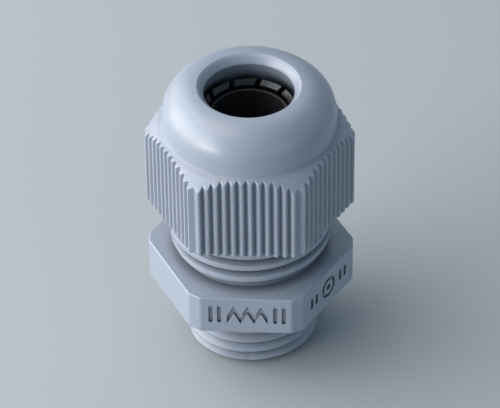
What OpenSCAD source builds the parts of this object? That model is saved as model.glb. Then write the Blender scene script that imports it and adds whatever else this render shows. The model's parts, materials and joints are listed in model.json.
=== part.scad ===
// Cable gland with a metric connection thread, closed by a domed cap nut that squeezes a
// ring of clamping fingers and a rubber sleeve on to the cable.
// Millimetres, +Z up the cable path, origin at the centre of the connection thread's end face.

/* [Connection thread] */
// outside diameter of the connection thread
thread_d = 15.9; // [15.7:0.05:16]
// root diameter of the connection thread
thread_root_d = 14.1; // [13.8:0.1:14.4]
// pitch of the connection thread
thread_pitch = 1.5; // [1.5]
// length of the connection thread up to the hexagon
thread_l = 8; // [7.6:0.1:8.2]
// bore through the connection thread
inlet_d = 10.6; // [9:0.1:11]

/* [Hexagon of the body] */
// width across flats
hex_af = 21.9; // [21.6:0.1:22.2]
// thickness of the hexagon
hex_h = 5.2; // [5:0.1:5.3]
// length cut from each corner, measured along the faces
hex_corner = 0.94; // [0.6:0.02:1.2]

/* [Threaded stub of the body] */
// outside diameter of the stub's thread
stub_d = 19; // [18.6:0.05:19.05]
// neck and root diameter of the stub's thread
stub_root_d = 17.12; // [16.9:0.02:17.4]
// pitch of the stub's thread
stub_pitch = 1.7; // [1.5:0.1:1.8]
// height of the stub above the hexagon
stub_h = 11.4; // [11.4]
// diameter of the counterbore that holds the cage
socket_d = 14.6; // [14.55:0.05:14.7]
// diameter of the chamber below the cage
chamber_d = 13.2; // [12:0.1:13.4]

/* [Cap nut] */
// width across flats over the ribs
nut_af = 21.85; // [21.6:0.05:22]
// height of the nut's lower edge above the thread's end face
nut_z = 19.6; // [18.4:0.1:19.8]
// height of the rim above the thread's end face
rim_z = 36.4; // [36.4]
// diameter of the round dome
dome_d = 20.34; // [20:0.02:20.5]
// radius of the dome's shoulder
dome_round = 4.2; // [3.8:0.1:4.4]
// height where the dome meets the hexagon
dome_z = 30.9; // [30.5:0.1:31.2]
// diameter of the mouth
mouth_d = 10.5; // [10.4:0.05:10.7]
// radius of the lip inside the rim
lip_r = 0.8; // [0.4:0.1:0.8]
// bore that clears the stub's thread
nut_bore_d = 19.2; // [19.2:0.05:19.3]
// spacing of the grip ribs
rib_pitch = 0.99; // [0.97:0.01:1]
// depth of the grooves between the ribs
rib_depth = 0.45; // [0.3:0.05:0.5]

/* [Cage] */
// outside diameter of the cage's sleeve
cage_d = 14.4; // [14.3:0.05:14.45]
// diameter of the collar that lies on the stub
collar_d = 17; // [16:0.1:17]
// height of a finger's tip above the thread's end face
tip_z = 33.35; // [33.2:0.05:33.4]
// width of the slot between two fingers
slot_w = 0.62; // [0.6:0.01:0.7]
// slant of the slots away from the radius, in degrees
slot_slant = 25; // [20:1:28]

/* [Sealing sleeve] */
// bore of the rubber sleeve
seal_bore_d = 8.6; // [7:0.1:9]
// height of the sleeve's upper end above the thread's end face
seal_top_z = 32.35; // [32:0.05:32.4]

/* [Hidden] */
$fn = 96;
skin = 0.01;
thread_r = thread_d / 2;
hex_top = thread_l + hex_h;
stub_top = hex_top + stub_h;
stub_r = stub_d / 2;
socket_h = 4.9;
socket_z = stub_top - socket_h;
crest_half = 0.1;
flank_half = 0.62;
first_crest = 0.9;
run_out_r = thread_r + 0.05;
run_out_h = 0.5;
lead_in = 1.25;
stub_crest_half = 0.34;
stub_flank_half = 0.66;
stub_first_crest = 1.8;
stub_chamfer = 1.2;
crest_spare = 0.3;
root_overlap = 0.4;
funnel_z = thread_l + 1;
funnel_h = 2.5;
collar_h = 0.8;
collar_top = stub_top + collar_h;
cage_wall = 0.95;
cage_lip = 1.8;
fingers = 10;
finger_step = 360 / fingers;
first_finger = 26;
root_r = 6.65;
root_inner_r = 6.08;
root_outer_r = 7.1;
tip_outer_r = 5.62;
tip_edge_r = 5.3;
tip_inner_r = 4.75;
tip_chamfer = 0.4;
tip_bevel = 0.6;
root_round = 0.5;
root_z = collar_top + root_round + 0.1;
root_turn = -5.5;
root_l = 3.2;
slot_r = 5.2;
slot_in = -1.2;
slot_out = 3;
seal_bottom_z = socket_z + 2;
seal_bottom_r = 6.05;
seal_root_r = 5.85;
seal_top_r = 4.66;
ribs = 12;
rib_flat = 0.1;
corner_groove = 0.72;
nut_turn = 1.1;
ceiling_z = 28.4;
cone_top_z = 34.25;
cone_r = 7.98;
nut_chamfer = 0.4;
shoulder_bend = 0.76;
shoulder_bend_drop = 0.32;
shoulder_reach = 3.4;
shoulder_slope = 1.05;

// one ring of a thread, with its crest at a height
module crest(root, r, z, half, flank) {
  rotate_extrude()
    polygon([
      [root - root_overlap, z - flank],
      [root, z - flank],
      [r, z - half],
      [r, z + half],
      [root, z + flank],
      [root - root_overlap, z + flank]
    ]);
}

// hexagon with flats to front and back and its corners cut off
module cut_hexagon(af, cut) {
  corner = af / sqrt(3);
  polygon([for (k = [0:5]) for (side = [-1, 1])
    [corner * cos(60 * k) + cut * cos(60 * k + side * 120),
     corner * sin(60 * k) + cut * sin(60 * k + side * 120)]]);
}

// round space inside the body: inlet, funnel, chamber and the cage's counterbore
module body_space() {
  rotate_extrude()
    polygon([
      [0, -skin],
      [inlet_d / 2, -skin],
      [inlet_d / 2, funnel_z],
      [chamber_d / 2, funnel_z + funnel_h],
      [chamber_d / 2, socket_z],
      [socket_d / 2, socket_z],
      [socket_d / 2, stub_top + skin],
      [0, stub_top + skin]
    ]);
}

// outer limit of both threads, with their lead-in chamfers
module body_limit() {
  rotate_extrude()
    polygon([
      [0, 0],
      [thread_root_d / 2, 0],
      [thread_r + crest_spare, lead_in],
      [thread_r + crest_spare, thread_l],
      [hex_af, thread_l],
      [hex_af, hex_top],
      [stub_r + crest_spare, hex_top],
      [stub_r + crest_spare, stub_top - stub_chamfer],
      [stub_root_d / 2, stub_top],
      [0, stub_top]
    ]);
}

module gland_body() {
  color([0.72, 0.74, 0.77])
    difference() {
      intersection() {
        union() {
          cylinder(h = thread_l + skin, d = thread_root_d);
          for (z = [first_crest:thread_pitch:thread_l - flank_half])
            crest(thread_root_d / 2, thread_r, z, crest_half, flank_half);
          translate([0, 0, thread_l - run_out_h])
            cylinder(h = run_out_h + skin, r = run_out_r);
          translate([0, 0, thread_l])
            linear_extrude(hex_h)
              cut_hexagon(hex_af, hex_corner);
          translate([0, 0, hex_top - skin])
            cylinder(h = stub_h + skin, d = stub_root_d);
          for (z = [hex_top + stub_first_crest:stub_pitch:stub_top - stub_crest_half])
            crest(stub_root_d / 2, stub_r, z, stub_crest_half, stub_flank_half);
        }
        body_limit();
      }
      body_space();
    }
}

// outline of the nut: twelve ribs a face, with V grooves between them and one at each corner
module ribbed_hexagon() {
  apothem = nut_af / 2;
  corner = nut_af / sqrt(3) - corner_groove;
  first = -(ribs - 1) / 2 * rib_pitch;
  function at(k, s, r) = [
    r * cos(60 * k + 30) - s * sin(60 * k + 30),
    r * sin(60 * k + 30) + s * cos(60 * k + 30)
  ];
  function face(k) = [for (i = [0:ribs - 1]) each concat(
    [at(k, first + i * rib_pitch - rib_flat, apothem)],
    [at(k, first + i * rib_pitch + rib_flat, apothem)],
    i < ribs - 1 ? [at(k, first + (i + 0.5) * rib_pitch, apothem - rib_depth)] : [])];
  polygon([for (k = [0:5]) each concat(
    face(k),
    [[corner * cos(60 * k + 60), corner * sin(60 * k + 60)]])]);
}

// cones that slope the shoulder down, gently beside the dome and steeply to the corners
module shoulder_limit() {
  bend_r = dome_d / 2 + shoulder_bend;
  bend_z = dome_z - shoulder_bend_drop;
  rotate_extrude()
    polygon([
      [0, nut_z],
      [bend_r + shoulder_reach, nut_z],
      [bend_r + shoulder_reach, bend_z - shoulder_reach * shoulder_slope],
      [bend_r, bend_z],
      [dome_d / 2, dome_z],
      [0, dome_z]
    ]);
}

// half section of the dome, before the inside is taken out
module dome_section() {
  round_r = dome_d / 2 - dome_round;
  translate([0, ceiling_z])
    square([dome_d / 2, rim_z - dome_round - ceiling_z]);
  translate([0, ceiling_z])
    square([round_r, rim_z - ceiling_z]);
  intersection() {
    translate([round_r, rim_z - dome_round])
      circle(r = dome_round);
    square([dome_d, rim_z]);
  }
}

// half section of the space inside the nut, with the rounded lip
module nut_space_section() {
  mouth_r = mouth_d / 2;
  polygon([
    [0, nut_z - skin],
    [nut_bore_d / 2 + nut_chamfer, nut_z - skin],
    [nut_bore_d / 2, nut_z + nut_chamfer],
    [nut_bore_d / 2, ceiling_z],
    [cone_r, ceiling_z],
    [mouth_r, cone_top_z],
    [mouth_r, rim_z + skin],
    [0, rim_z + skin]
  ]);
  difference() {
    translate([mouth_r - skin, rim_z - lip_r])
      square([lip_r + skin, lip_r + skin]);
    translate([mouth_r + lip_r, rim_z - lip_r])
      circle(r = lip_r);
  }
}

module cap_nut() {
  color([0.75, 0.77, 0.8])
    difference() {
      union() {
        intersection() {
          translate([0, 0, nut_z])
            rotate([0, 0, nut_turn])
              linear_extrude(dome_z - nut_z)
                ribbed_hexagon();
          shoulder_limit();
        }
        rotate_extrude()
          dome_section();
      }
      rotate_extrude()
        nut_space_section();
    }
}

module cage_ring() {
  color([0.09, 0.09, 0.1])
    rotate_extrude()
      polygon([
        [cage_d / 2 - cage_lip, socket_z],
        [cage_d / 2, socket_z],
        [cage_d / 2, stub_top],
        [collar_d / 2, stub_top],
        [collar_d / 2, collar_top],
        [cage_d / 2 - cage_wall, collar_top],
        [cage_d / 2 - cage_wall, socket_z + cage_lip],
        [cage_d / 2 - cage_lip, socket_z + cage_lip]
      ]);
}

// ring of all the fingers' material, before the slots part it
module finger_ring() {
  rotate_extrude()
    polygon([
      [root_inner_r, root_z],
      [root_outer_r, root_z],
      [tip_outer_r, tip_z - tip_chamfer],
      [tip_edge_r, tip_z],
      [tip_inner_r, tip_z - tip_bevel]
    ]);
}

// plan of one finger between two slanted slots
module finger_plan() {
  half = slot_w / 2;
  edge = finger_step / 2;
  function line(phi, side, s) = [
    slot_r * cos(phi) + s * cos(phi - slot_slant) - side * half * sin(phi - slot_slant),
    slot_r * sin(phi) + s * sin(phi - slot_slant) + side * half * cos(phi - slot_slant)
  ];
  polygon([
    line(-edge, 1, slot_in),
    line(-edge, 1, slot_out),
    line(edge, -1, slot_out),
    line(edge, -1, slot_in)
  ]);
}

// finger standing on its round root, turned to its place in the ring
module finger(number) {
  color([0.09, 0.09, 0.1])
    rotate([0, 0, first_finger + (number - 1) * finger_step]) {
      intersection() {
        finger_ring();
        translate([0, 0, root_z - 1])
          linear_extrude(tip_z - root_z + 2)
            finger_plan();
      }
      rotate([0, 0, root_turn])
        translate([root_r, root_l / 2, root_z])
          rotate([90, 0, 0])
            cylinder(h = root_l, r = root_round);
    }
}

module finger_01() {
  finger(1);
}

module finger_02() {
  finger(2);
}

module finger_03() {
  finger(3);
}

module finger_04() {
  finger(4);
}

module finger_05() {
  finger(5);
}

module finger_06() {
  finger(6);
}

module finger_07() {
  finger(7);
}

module finger_08() {
  finger(8);
}

module finger_09() {
  finger(9);
}

module finger_10() {
  finger(10);
}

module sealing_sleeve() {
  color([0.05, 0.05, 0.055])
    rotate_extrude()
      polygon([
        [seal_bore_d / 2, seal_bottom_z],
        [seal_bottom_r, seal_bottom_z],
        [seal_bottom_r, stub_top],
        [seal_root_r, root_z],
        [seal_top_r, seal_top_z],
        [seal_bore_d / 2, seal_top_z]
      ]);
}

gland_body();
cap_nut();
cage_ring();
finger_01();
finger_02();
finger_03();
finger_04();
finger_05();
finger_06();
finger_07();
finger_08();
finger_09();
finger_10();
sealing_sleeve();
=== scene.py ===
import json
import math

import bmesh
import bpy
from mathutils import Matrix, Vector


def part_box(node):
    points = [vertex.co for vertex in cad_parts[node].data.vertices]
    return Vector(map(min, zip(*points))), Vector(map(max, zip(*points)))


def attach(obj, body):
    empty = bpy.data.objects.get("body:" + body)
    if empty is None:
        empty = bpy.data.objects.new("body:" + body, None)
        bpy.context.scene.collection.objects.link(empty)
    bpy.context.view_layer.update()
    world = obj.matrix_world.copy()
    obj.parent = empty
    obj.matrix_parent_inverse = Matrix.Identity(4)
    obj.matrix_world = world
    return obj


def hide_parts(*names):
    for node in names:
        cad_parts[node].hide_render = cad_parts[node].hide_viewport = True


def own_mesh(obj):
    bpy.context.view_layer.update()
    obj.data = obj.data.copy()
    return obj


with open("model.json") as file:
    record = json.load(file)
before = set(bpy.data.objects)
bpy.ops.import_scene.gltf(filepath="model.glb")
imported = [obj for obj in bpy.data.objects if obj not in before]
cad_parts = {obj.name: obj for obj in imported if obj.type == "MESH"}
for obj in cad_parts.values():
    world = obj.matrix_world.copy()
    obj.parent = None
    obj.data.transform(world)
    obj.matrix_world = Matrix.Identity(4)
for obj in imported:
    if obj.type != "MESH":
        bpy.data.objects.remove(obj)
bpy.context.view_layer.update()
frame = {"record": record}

# ---- Gland body
# One injection moulding in light grey polyamide: an M16 connection thread, a hexagon and a threaded stub
# for the cap nut, with the cable's way through the middle. Both threads are right-hand.

# All sizes are in millimetres until a piece is finished.
stub_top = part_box("gland_body")[1].z * 1000
across_flats = (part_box("gland_body")[1].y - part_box("gland_body")[0].y) * 1000
panel_seat = [m for m in frame["record"]["mounts"] if m["name"] == "panel_seat"][0]
hexagon_low = panel_seat["pos_m"][2] * 1000
hexagon_high = hexagon_low + 5.2
corner_cut = 0.94
edge_round = 0.2

# A thread's root and crest are radii, and its phase is the height of one of its crests at the front.
connection = {"root": 7.05, "crest": 7.95, "pitch": 1.5, "phase": 3.83}
stub = {"root": 8.56, "crest": 9.5, "pitch": 1.7, "phase": 16.7}
front = math.radians(-86.3)
run_out = connection["crest"] + 0.05
run_out_low = hexagon_low - 0.5

inlet = 5.3
chamber = 6.6
counterbore = 7.3
counterbore_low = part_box("cage_ring")[0].z * 1000
round_steps = 144


def rounded(corners, step=15):
    """The points of an outline whose corners (x, z, radius) are rounded, step being in degrees."""
    points = []
    for i, (x, z, radius) in enumerate(corners):
        here = Vector((x, z))
        if radius == 0:
            points.append(here)
            continue
        back = (Vector(corners[i - 1][:2]) - here).normalized()
        on = (Vector(corners[(i + 1) % len(corners)][:2]) - here).normalized()
        half = back.angle(on) / 2
        centre = here + (back + on).normalized() * radius / math.sin(half)
        arm = here + back * radius / math.tan(half) - centre
        turn = math.copysign(math.pi - 2 * half, on.x * back.y - on.y * back.x)
        pieces = max(1, math.ceil(abs(turn) / math.radians(step)))
        for k in range(pieces + 1):
            points.append(centre + Matrix.Rotation(turn * k / pieces, 2) @ arm)
    return points


def wire(bm, points, closed=False):
    """Vertices at the points (radius, height) and the edges between them."""
    verts = [bm.verts.new((p[0], 0, p[1])) for p in points]
    pairs = list(zip(verts, verts[1:] + verts[:1])) if closed else list(zip(verts, verts[1:]))
    return verts + [bm.edges.new(pair) for pair in pairs]


def turned(points, closed=False):
    """The shell that an outline (radius, height) makes when it is spun round the axis."""
    bm = bmesh.new()
    bmesh.ops.spin(
        bm, geom=wire(bm, points, closed), axis=(0, 0, 1), cent=(0, 0, 0), angle=2 * math.pi,
        steps=round_steps, use_merge=True)
    return bm


def helix(outline, pitch, start, low, high, trim):
    """One pitch's outline swept up a right-hand helix, cut off level at both heights, then trimmed."""
    bm = bmesh.new()
    start -= pitch * (math.ceil((start - low) / pitch) + 1)
    bmesh.ops.spin(
        bm, geom=wire(bm, [(r, z + start) for r, z in outline]), axis=(0, 0, 1), cent=(0, 0, 0),
        dvec=(0, 0, pitch / round_steps), angle=2 * math.pi, steps=round_steps)
    first_turn = bm.verts[:] + bm.edges[:] + bm.faces[:]
    for turn in range(1, math.ceil((high - start) / pitch) + 1):
        copy = bmesh.ops.duplicate(bm, geom=first_turn)["geom"]
        raised = [v for v in copy if isinstance(v, bmesh.types.BMVert)]
        bmesh.ops.translate(bm, verts=raised, vec=(0, 0, pitch * turn))
    bmesh.ops.remove_doubles(bm, verts=bm.verts, dist=0.001)
    for height, up in ((low, -1), (high, 1)):
        bmesh.ops.bisect_plane(
            bm, geom=bm.verts[:] + bm.edges[:] + bm.faces[:], dist=1e-5, plane_co=(0, 0, height),
            plane_no=(0, 0, up), clear_outer=True)
    for v in bm.verts:
        r = math.hypot(v.co.x, v.co.y)
        wanted = trim(r, v.co.z)
        v.co.x *= wanted / r
        v.co.y *= wanted / r
    return bm


def ridge(size, root_width, crest_width, radius):
    """One pitch of a thread from the middle of a root to the next, with the ridge's centre half way."""
    half = size["pitch"] / 2
    return rounded([
        (size["root"], 0, 0),
        (size["root"], half - root_width / 2, radius),
        (size["crest"], half - crest_width / 2, radius),
        (size["crest"], half + crest_width / 2, radius),
        (size["root"], half + root_width / 2, radius),
        (size["root"], size["pitch"], 0)], 30)


def start_of(size):
    """The height of a thread's outline at angle 0, so that a crest lies at its phase at the front."""
    return size["phase"] - size["pitch"] / 2 - size["pitch"] * front / (2 * math.pi)


def joined(*parts):
    """One bmesh holding all the parts."""
    whole = bmesh.new()
    for part in parts:
        mesh = bpy.data.meshes.new("part")
        part.to_mesh(mesh)
        part.free()
        whole.from_mesh(mesh)
        bpy.data.meshes.remove(mesh)
    return whole


def open_loop(bm, z, inside, outside):
    """The open edges at a height whose distance from the axis lies between two radii."""
    return [
        e for e in bm.edges
        if e.is_boundary
        and all(abs(v.co.z - z) < 1e-3 and inside <= math.hypot(v.co.x, v.co.y) <= outside for v in e.verts)]


def flat_ring(bm, z, inside, outside):
    """Fills the flat ring between the two open loops at a height."""
    bmesh.ops.triangle_fill(
        bm, edges=open_loop(bm, z, inside, outside), use_beauty=True, use_dissolve=False, normal=(0, 0, 1))


def hexagon():
    """The hexagon with its corners cut off and its edges rounded."""
    bm = bmesh.new()
    bmesh.ops.create_circle(bm, cap_ends=True, segments=6, radius=across_flats / math.sqrt(3))
    bmesh.ops.rotate(bm, verts=bm.verts, cent=(0, 0, 0), matrix=Matrix.Rotation(math.radians(30), 3, "Z"))
    bmesh.ops.bevel(
        bm, geom=bm.verts[:], offset=corner_cut, offset_type="OFFSET", segments=1, profile=0.5,
        affect="VERTICES", material=-1)
    bmesh.ops.translate(bm, verts=bm.verts, vec=(0, 0, hexagon_low))
    top = bmesh.ops.extrude_face_region(bm, geom=bm.faces[:])["geom"]
    raised = [v for v in top if isinstance(v, bmesh.types.BMVert)]
    bmesh.ops.translate(bm, verts=raised, vec=(0, 0, hexagon_high - hexagon_low))
    bmesh.ops.recalc_face_normals(bm, faces=bm.faces)
    bmesh.ops.bevel(
        bm, geom=bm.edges[:], offset=edge_round, offset_type="OFFSET", segments=4, profile=0.5,
        affect="EDGES", material=-1)
    return bm


def finished(bm, name, material, body, slot, *nodes):
    """A piece in metres with outward faces, smooth but for its sharp edges, and told what it rides on."""
    bmesh.ops.scale(bm, vec=(0.001, 0.001, 0.001), verts=bm.verts)
    bmesh.ops.recalc_face_normals(bm, faces=bm.faces)
    for face in bm.faces:
        face.smooth = True
    sharp_from = math.radians(32)
    for edge in bm.edges:
        edge.smooth = edge.calc_face_angle(0) < sharp_from
    mesh = bpy.data.meshes.new(name)
    bm.to_mesh(mesh)
    bm.free()
    piece = bpy.data.objects.new(name, mesh)
    bpy.context.scene.collection.objects.link(piece)
    mesh.materials.append(material)
    weighted = piece.modifiers.new("even shading", "WEIGHTED_NORMAL")
    weighted.keep_sharp = True
    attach(piece, body)
    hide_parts(*nodes)
    return piece


def linear(colour):
    """A colour written as sRGB hex, as linear red, green, blue and alpha."""
    parts = [int(colour[i:i + 2], 16) / 255 for i in (1, 3, 5)]
    return [c / 12.92 if c <= 0.04045 else ((c + 0.055) / 1.055) ** 2.4 for c in parts] + [1]


def add(tree, kind, inputs=None, **settings):
    """Adds a shader node, with its settings, and its inputs as values or as sockets to link from."""
    made = tree.nodes.new("ShaderNode" + kind)
    for name, value in settings.items():
        setattr(made, name, value)
    for name, value in (inputs or {}).items():
        if isinstance(value, bpy.types.NodeSocket):
            tree.links.new(value, made.inputs[name])
        else:
            made.inputs[name].default_value = value
    return made


def moulded(name, light, dark, roughness, grain):
    """A moulded surface: faint clouds in the colour from the flow in the mould, a gloss broken up by the fine
    grain (in metres) of the mould's wall, and painted shade that darkens the colour in grooves and corners."""
    material = bpy.data.materials.new(name)
    material.use_nodes = True
    tree = material.node_tree
    shader = tree.nodes["Principled BSDF"]
    place = add(tree, "TexCoord").outputs["Object"]
    cloud_size = 0.006
    cloud = add(tree, "TexNoise", {"Vector": place, "Scale": 1 / cloud_size, "Detail": 3, "Roughness": 0.55})
    colour = add(tree, "ValToRGB", {"Fac": cloud.outputs["Fac"]})
    colour.color_ramp.elements[0].position = 0.3
    colour.color_ramp.elements[0].color = linear(dark)
    colour.color_ramp.elements[1].position = 0.7
    colour.color_ramp.elements[1].color = linear(light)
    # Painted shade: the colour is darkened where the surface is hemmed in, in grooves, corners and recesses.
    painted_shade_reach = 0.0021
    painted_shade_ao = add(tree, "AmbientOcclusion", {"Distance": painted_shade_reach}, samples=16)
    shade = add(tree, "MapRange", {
        "Value": painted_shade_ao.outputs["AO"], "From Min": 0.25, "From Max": 0.8, "To Min": 0.3, "To Max": 1})
    shaded = add(
        tree, "VectorMath", {"Vector": colour.outputs["Color"], "Scale": shade.outputs["Result"]},
        operation="SCALE")
    tree.links.new(shaded.outputs["Vector"], shader.inputs["Base Color"])
    mottle_size = 0.0009
    mottle = add(tree, "TexNoise", {"Vector": place, "Scale": 1 / mottle_size, "Detail": 4, "Roughness": 0.6})
    gloss = add(tree, "MapRange", {
        "Value": mottle.outputs["Fac"], "From Min": 0.3, "From Max": 0.7,
        "To Min": roughness - 0.02, "To Max": roughness + 0.03})
    tree.links.new(gloss.outputs["Result"], shader.inputs["Roughness"])
    fine = add(tree, "TexNoise", {"Vector": place, "Scale": 1 / grain, "Detail": 2, "Roughness": 0.5})
    bump = add(tree, "Bump", {"Height": fine.outputs["Fac"], "Strength": 0.1, "Distance": 0.00001})
    tree.links.new(bump.outputs["Normal"], shader.inputs["Normal"])
    shader.inputs["IOR"].default_value = 1.53
    return material


# Polyamide from a spark-eroded mould is satin, with a soft wide highlight on the round parts.
grey_polyamide = moulded("light_grey_polyamide", "#9199A7", "#8D95A3", 0.29, 0.00022)


def prism(outline, depth, at):
    """A closed prism from an outline (across, up), pushed into a surface: at places it."""
    bm = bmesh.new()
    face = bm.faces.new([bm.verts.new((x, -depth, z)) for x, z in outline])
    far_end = bmesh.ops.extrude_face_region(bm, geom=[face])["geom"]
    pushed = [v for v in far_end if isinstance(v, bmesh.types.BMVert)]
    bmesh.ops.translate(bm, verts=pushed, vec=(0, 2 * depth, 0))
    bmesh.ops.recalc_face_normals(bm, faces=bm.faces)
    bmesh.ops.transform(bm, matrix=at, verts=bm.verts)
    return bm


def bar(x, z, width, height):
    """The outline of an upright bar with round ends."""
    end_round = width / 2.2
    return rounded([
        (x - width / 2, z - height / 2, end_round),
        (x + width / 2, z - height / 2, end_round),
        (x + width / 2, z + height / 2, end_round),
        (x - width / 2, z + height / 2, end_round)], 30)


def zigzag(x, z, count, pitch, height, stroke):
    """The outline of a thread symbol: a zigzag stroke of even width."""
    line = [(x + k * pitch, z + (height / 2 if k % 2 else -height / 2)) for k in range(count + 1)]
    slant = stroke * math.hypot(pitch, height) / pitch / 2
    return [(a, b - slant) for a, b in line] + [(a, b + slant) for a, b in reversed(line)]


# The marks are plain signs pressed in: a thread symbol between bars on the front flat, and a ring and dot
# between bars on the flat beside it.
mark_depth = 0.26
stroke = 0.5
front_bar = 2.5
side_bar = 1.6
teeth = 6
tooth_width = 0.8
tooth_height = front_bar - 0.95
ring = (0.95, 1.4)
dot = (0.05, 0.42)
mark_level = (hexagon_low + hexagon_high) / 2 + 0.15
front_face = Matrix.Translation((0.15, -across_flats / 2, mark_level))
marks = [prism(bar(x, 0, stroke, front_bar), mark_depth, front_face) for x in (-4.3, -3.3, 3.3, 4.3)]
marks.append(prism(
    zigzag(-teeth * tooth_width / 2, 0, teeth, tooth_width, tooth_height, stroke), mark_depth, front_face))
side_face = Matrix.Rotation(math.radians(60), 4, "Z") @ Matrix.Translation((0, -across_flats / 2, mark_level))
marks += [prism(bar(x, 0, stroke, side_bar), mark_depth, side_face) for x in (-3.6, -2.6, 2.6, 3.6)]
for inner, outer in (ring, dot):
    sign = turned(
        [(inner, -mark_depth), (outer, -mark_depth), (outer, mark_depth), (inner, mark_depth)], closed=True)
    bmesh.ops.remove_doubles(sign, verts=sign.verts, dist=0.001)
    bmesh.ops.recalc_face_normals(sign, faces=sign.faces)
    bmesh.ops.transform(
        sign, matrix=side_face @ Matrix.Rotation(math.pi / 2, 4, "X"), verts=sign.verts)
    marks.append(sign)


def carved(bm, tools):
    """The bmesh with the tools' shapes cut out of it."""
    pair = []
    for part, name in ((bm, "blank"), (joined(*tools), "cutter")):
        mesh = bpy.data.meshes.new(name)
        part.to_mesh(mesh)
        pair.append(bpy.data.objects.new(name, mesh))
        bpy.context.scene.collection.objects.link(pair[-1])
    blank, cutter = pair
    cut = blank.modifiers.new("cut", "BOOLEAN")
    cut.object = cutter
    cut.operation = "DIFFERENCE"
    cut.solver = "EXACT"
    result = bmesh.new()
    result.from_object(blank, bpy.context.evaluated_depsgraph_get())
    bmesh.ops.remove_doubles(result, verts=result.verts, dist=0.002)
    bmesh.ops.recalc_face_normals(result, faces=result.faces)
    for helper in pair:
        bpy.data.objects.remove(helper)
    return result


# The hexagon's flat ends are taken off, because the threads join it there.
marked = carved(hexagon(), marks)
smallest_end = 100  # in square millimetres
ends = [f for f in marked.faces if abs(f.normal.z) > 0.999 and f.calc_area() > smallest_end]
bmesh.ops.delete(marked, geom=ends, context="FACES_ONLY")


def connection_trim(r, z):
    """The connection thread's chamfered start and its plain run-out under the hexagon."""
    if z > run_out_low:
        return run_out
    lead_in = 0.96
    return min(r, connection["root"] + z * lead_in)


def stub_trim(r, z):
    """The stub thread fades out above the hexagon and is chamfered at the top."""
    above, below = z - hexagon_high, stub_top - z
    neck, fade, top_step = 0.75, 1.6, 0.1
    return min(r, stub["root"] + max(0, above - neck) * fade, stub["root"] - top_step + below)


funnel_low = hexagon_low + 1
funnel_high = funnel_low + 2.5
bore = turned(rounded([
    (connection["root"] - 0.15, 0, 0),
    (inlet, 0, 0.25),
    (inlet, funnel_low, 0.4),
    (chamber, funnel_high, 0.4),
    (chamber, counterbore_low, 0.1),
    (counterbore, counterbore_low, 0.1),
    (counterbore, stub_top, 0.2),
    (8.3, stub_top, 0)]))
body = joined(
    helix(ridge(connection, 1.3, 0.2, 0.05), connection["pitch"], start_of(connection), 0, hexagon_low,
          connection_trim),
    marked,
    helix(ridge(stub, 1.34, 0.68, 0.08), stub["pitch"], start_of(stub), hexagon_high, stub_top, stub_trim),
    bore)
flat_ring(body, 0, 6, 7.2)
flat_ring(body, hexagon_low, 7.5, 13)
flat_ring(body, hexagon_high, 8, 13)
flat_ring(body, stub_top, 8, 8.8)
finished(body, "gland_body_moulding", grey_polyamide, "gland_body", "grey_polyamide", "gland_body")

# ---- Cap nut
# The second grey moulding: a hexagon of fine upright grip ribs under a smooth round dome with a lipped mouth.
# Its inside thread runs on the stub's, and the cone under the dome presses the fingers inwards.

nut_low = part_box("cap_nut")[0].z * 1000
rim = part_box("cap_nut")[1].z * 1000
nut_flats = across_flats - 0.05
ribs = 12
rib_pitch = 0.99
rib_flat = 0.12  # half the width of a rib's crest
rib_depth = 0.5
rib_round = 0.07
corner_groove = 0.74
dome_radius = 10.17
dome_round = 4.05
dome_foot = 30.9
shoulder_bend = (10.93, 30.58)  # radius and height
shoulder_slope = 1.05
mouth = 5.25
cone_high = 34.25
cone_low = 28.4
thread_end = 27.9
nut_turn = 1.1  # degrees that the tightened nut stands round from the hexagon below
inside_thread = {
    "root": 9.65, "crest": 8.78, "pitch": stub["pitch"], "phase": stub["phase"] + stub["pitch"] / 2}


def ribbed_outline():
    """The nut's outline: ribs with V grooves between them on each flat, and a groove at each corner."""
    face = []
    for i in range(ribs):
        s = (i - (ribs - 1) / 2) * rib_pitch
        face += [(s - rib_flat, nut_flats / 2, rib_round), (s + rib_flat, nut_flats / 2, rib_round)]
        if i < ribs - 1:
            face.append((s + rib_pitch / 2, nut_flats / 2 - rib_depth, rib_round))
    corner = Matrix.Rotation(math.radians(30), 2) @ Vector((0, nut_flats / math.sqrt(3) - corner_groove))
    face.append((-corner.x, corner.y, rib_round))
    whole = []
    for k in range(6):
        turn = Matrix.Rotation(math.radians(nut_turn - 60 * k), 2)
        whole += [(*(turn @ Vector(p[:2])), p[2]) for p in face]
    return rounded(whole, 40)


def next_ring(bm, edges, place):
    """Extrudes a loop of edges and puts each new vertex where place(radius, height) says."""
    made = bmesh.ops.extrude_edge_only(bm, edges=edges)["geom"]
    for v in made:
        if isinstance(v, bmesh.types.BMVert):
            r = math.hypot(v.co.x, v.co.y)
            new_r, new_z = place(r, v.co.z)
            v.co = (v.co.x * new_r / r, v.co.y * new_r / r, new_z)
    return [e for e in made if isinstance(e, bmesh.types.BMEdge)]


def shoulder(r):
    """The height of the shoulder at a radius: gently sloped beside the dome, and steeply to the corners."""
    if r > shoulder_bend[0]:
        return shoulder_bend[1] - (r - shoulder_bend[0]) * shoulder_slope
    return dome_foot - (r - dome_radius) / (shoulder_bend[0] - dome_radius) * (dome_foot - shoulder_bend[1])


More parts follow.
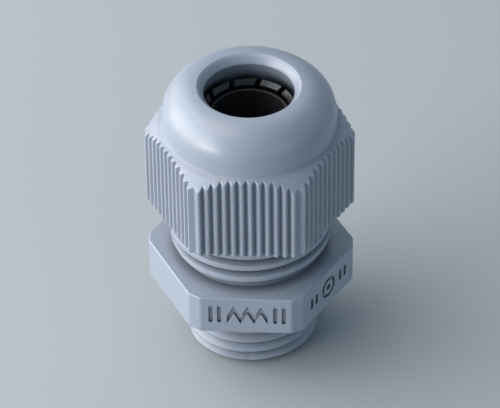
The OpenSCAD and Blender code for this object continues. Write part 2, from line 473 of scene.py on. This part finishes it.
nut = bmesh.new()
outline = ribbed_outline()
verts = [nut.verts.new((x, y, nut_low + 0.3)) for x, y in outline]
start = [nut.edges.new(pair) for pair in zip(verts, verts[1:] + verts[:1])]
edge = next_ring(nut, start, lambda r, z: (r - 0.12, nut_low + 0.05))
edge = next_ring(nut, edge, lambda r, z: (r - 0.2, nut_low))
next_ring(nut, edge, lambda r, z: (10.05, nut_low))
edge = next_ring(nut, start, lambda r, z: (r, shoulder(r) - 0.1))
edge = next_ring(nut, edge, lambda r, z: (r - 0.03, shoulder(r) - 0.035))
edge = next_ring(nut, edge, lambda r, z: (r - 0.09, shoulder(r - 0.09)))
edge = next_ring(nut, edge, lambda r, z: (r - 0.05, shoulder(r - 0.05)))
for reach in (11.0, 10.86, dome_radius + 0.24, dome_radius + 0.08):
    edge = next_ring(
        nut, edge, lambda r, z: (min(r - 0.02, reach), shoulder(min(r - 0.02, reach))))
profile = rounded([
    (dome_radius + 0.02, dome_foot + 0.02, 0),
    (dome_radius, dome_foot + 0.1, 0),
    (dome_radius, rim, dome_round),
    (mouth + 0.8, rim, 0.06),
    (mouth + 0.5, rim - 0.22, 0.5),
    (mouth + 0.07, rim - 0.8, 0.3),
    (mouth, rim - 1.0, 0.05),
    (mouth + 0.14, rim - 1.12, 0.04),
    (mouth + 0.42, cone_high, 0.15),
    (7.98, cone_low, 0.15),
    (9.4, cone_low, 0.1),
    (9.6, cone_low - 0.2, 0.05),
    (9.6, thread_end, 0)], 7.5)
for point in profile:
    edge = next_ring(nut, edge, lambda r, z: (point[0], point[1]))


def nut_trim(r, z):
    """The inside thread starts from a chamfer below and runs out above."""
    entry, slope = 9.85, 1.2
    from_low, from_end = max(0, z - nut_low), max(0, thread_end - z)
    return max(r, entry - from_low * slope, inside_thread["root"] - from_end * slope)


nut = joined(nut, helix(ridge(inside_thread, 0.84, 0.34, 0.08), inside_thread["pitch"],
                        start_of(inside_thread), nut_low, thread_end, nut_trim))
flat_ring(nut, nut_low, 9.7, 10.2)
flat_ring(nut, thread_end, 9.5, 9.8)
finished(nut, "cap_nut_moulding", grey_polyamide, "cap_nut", "grey_polyamide", "cap_nut")

# ---- Cage
# A black polyamide moulding that grips the cable: a sleeve and collar that sit in the stub, and ten fingers
# that stand on the collar, parted by slots slanted to the radius. Each finger has a round root and rides on
# a body of its own.

# It is dark enough that only the edges and the finger tips catch the light.
black_polyamide = moulded("black_polyamide", "#1C1E22", "#16181B", 0.36, 0.0002)

collar_low = counterbore_low
collar_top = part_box("cage_ring")[1].z * 1000
collar_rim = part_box("cage_ring")[1].x * 1000
sleeve_outside = counterbore - 0.1
cage_inside = 6.25
ledge_inside = 5.4
ledge_top = collar_low + 1.8
collar = turned(rounded([
    (ledge_inside, collar_low, 0.12),
    (sleeve_outside, collar_low, 0.15),
    (sleeve_outside, stub_top, 0.05),
    (collar_rim, stub_top, 0.08),
    (collar_rim, collar_top, 0.15),
    (cage_inside, collar_top, 0.12),
    (cage_inside, ledge_top, 0.15),
    (ledge_inside, ledge_top, 0.12)]), closed=True)
finished(collar, "cage_collar", black_polyamide, "gland_body", "black_polyamide", "cage_ring")

finger_count = 10
finger_step = math.radians(360 / finger_count)
first_finger = math.radians(26)
slot_width = 0.62
slot_slant = math.radians(25)
slot_radius = 5.2
root_low = 25.5
root_height = 26
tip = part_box("finger_01")[1].z * 1000


def one_finger(direction):
    """A finger in the ring's section, cut free by its two slots, with its edges rounded."""
    bm = bmesh.new()
    section = rounded([
        (6.15, root_low, 0.45),
        (7.15, root_low, 0.45),
        (7.08, root_height + 0.2, 0.4),
        (5.62, tip - 0.4, 0.15),
        (5.3, tip, 0.1),
        (4.75, tip - 0.6, 0.12),
        (6.08, root_height + 0.2, 0.4)], 30)
    outline = wire(bm, section, closed=True)
    sweep = finger_step * 1.7
    start_angle = direction - sweep / 2 - 0.1
    bmesh.ops.rotate(bm, verts=bm.verts, cent=(0, 0, 0), matrix=Matrix.Rotation(start_angle, 3, "Z"))
    bmesh.ops.spin(bm, geom=outline, axis=(0, 0, 1), cent=(0, 0, 0), angle=sweep, steps=24)
    for side in (-1, 1):
        edge_angle = direction + side * finger_step / 2
        normal = Vector((-math.sin(edge_angle - slot_slant), math.cos(edge_angle - slot_slant), 0)) * side
        point = Vector((math.cos(edge_angle), math.sin(edge_angle), 0)) * slot_radius
        bmesh.ops.bisect_plane(
            bm, geom=bm.verts[:] + bm.edges[:] + bm.faces[:], dist=1e-5,
            plane_co=point - normal * slot_width / 2, plane_no=normal, clear_outer=True)
    bmesh.ops.holes_fill(bm, edges=bm.edges[:], sides=0)
    bmesh.ops.recalc_face_normals(bm, faces=bm.faces)
    rims = [e for e in bm.edges if e.calc_face_angle(0) > math.radians(50)]
    finger_round = 0.08
    bmesh.ops.bevel(
        bm, geom=rims, offset=finger_round, offset_type="OFFSET", segments=2, profile=0.5, affect="EDGES",
        material=-1, clamp_overlap=True)
    return bm


for k in range(finger_count):
    number = f"finger_{k + 1:02d}"
    finished(
        one_finger(first_finger + k * finger_step), "cage_" + number, black_polyamide, number,
        "black_polyamide", number)

# ---- Sealing sleeve
# A moulded black rubber sleeve that stands on the cage's ledge inside the fingers. They press it on to the
# cable.

# Rubber from a blasted mould is matt, so the inside of the mouth stays black.
black_rubber = moulded("black_rubber", "#1E2022", "#181A1C", 0.6, 0.00015)

seal_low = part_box("sealing_sleeve")[0].z * 1000
seal_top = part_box("sealing_sleeve")[1].z * 1000
seal_bore = 4.3
seal_outside = 6.02
sleeve = turned(rounded([
    (seal_outside, seal_low, 0.15),
    (seal_outside, stub_top, 0.3),
    (seal_outside - 0.18, root_height, 0.3),
    (seal_bore + 0.38, seal_top, 0.12),
    (seal_bore, seal_top, 0.12),
    (seal_bore, seal_low, 0.12)], 30), closed=True)
seal = finished(
    sleeve, "sealing_sleeve_rubber", black_rubber, "sealing_sleeve", "black_rubber", "sealing_sleeve")
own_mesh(seal)

# ---- Stage: floor, lights and camera
# A pale grey floor under wide soft lights, strongest from the left, with a weak fill from the right.

floor_grid = bmesh.new()
bmesh.ops.create_grid(floor_grid, x_segments=1, y_segments=1, size=3)
floor_mesh = bpy.data.meshes.new("floor")
floor_grid.to_mesh(floor_mesh)
floor_grid.free()
floor = bpy.data.objects.new("floor", floor_mesh)
bpy.context.scene.collection.objects.link(floor)
paper = bpy.data.materials.new("matt_paper")
paper.use_nodes = True
paper_shader = paper.node_tree.nodes["Principled BSDF"]
paper_shader.inputs["Base Color"].default_value = linear("#A2A7AC")
paper_shader.inputs["Roughness"].default_value = 0.8
floor_mesh.materials.append(paper)


def soft_light(name, azimuth, elevation, distance, size, power, colour):
    """A soft light that faces the gland. Azimuth runs from front to right; size is width and height."""
    data = bpy.data.lights.new(name, "AREA")
    data.shape = "RECTANGLE"
    data.size, data.size_y = size
    data.energy = power
    data.color = colour
    around, up = math.radians(azimuth), math.radians(elevation)
    gland_middle = Vector((0, 0, 0.02))
    away = Vector((math.sin(around) * math.cos(up), -math.cos(around) * math.cos(up), math.sin(up)))
    lamp = bpy.data.objects.new(name, data)
    lamp.location = gland_middle + away * distance
    lamp.rotation_euler = (-away).to_track_quat("-Z", "Y").to_euler()
    bpy.context.scene.collection.objects.link(lamp)


soft_light("key_panel", 265, 14, 0.36, (0.9, 0.16), 0.84, (1, 0.84, 0.66))
soft_light("high_panel", 265, 42, 0.45, (0.9, 0.25), 1.85, (0.84, 0.89, 1))
soft_light("front_left_light", 279, 16, 0.4, (0.58, 0.28), 1.6, (0.98, 1, 0.93))
soft_light("front_light", 314, 9, 0.5, (0.2, 0.12), 0.62, (1, 0.95, 0.96))
soft_light("front_right_light", 45, 15, 0.5, (0.3, 0.2), 0.17, (0.72, 0.96, 1))
soft_light("top_light", 270, 66, 0.5, (0.4, 0.3), 0.72, (1, 0.84, 0.68))
soft_light("back_light", 180, 55, 0.5, (0.4, 0.3), 0.25, (1, 0.95, 0.92))
soft_light("right_light", 90, 20, 0.5, (0.5, 0.3), 0.11, (1, 0.84, 0.88))
room = bpy.data.worlds.new("room")
room.use_nodes = True
room_light = room.node_tree.nodes["Background"]
room_light.inputs["Color"].default_value = linear("#C6E9FF")
room_light.inputs["Strength"].default_value = 0.34
bpy.context.scene.world = room

camera_data = bpy.data.cameras.new("camera")
camera_data.lens = 242.16
camera_data.sensor_width = 36
camera_data.clip_start = 0.01
camera = bpy.data.objects.new("camera", camera_data)
camera_azimuth = math.radians(3.7)
camera_elevation = math.radians(39.88)
camera_roll = math.radians(-0.745)
camera.matrix_world = (
    Matrix.Rotation(camera_azimuth, 4, "Z")
    @ Matrix.Translation((-0.00005, -0.30512, 0.27355))
    @ Matrix.Rotation(math.pi / 2 - camera_elevation, 4, "X")
    @ Matrix.Rotation(camera_roll, 4, "Z"))
bpy.context.scene.collection.objects.link(camera)
bpy.context.scene.camera = camera
bpy.context.scene.view_settings.view_transform = "Standard"
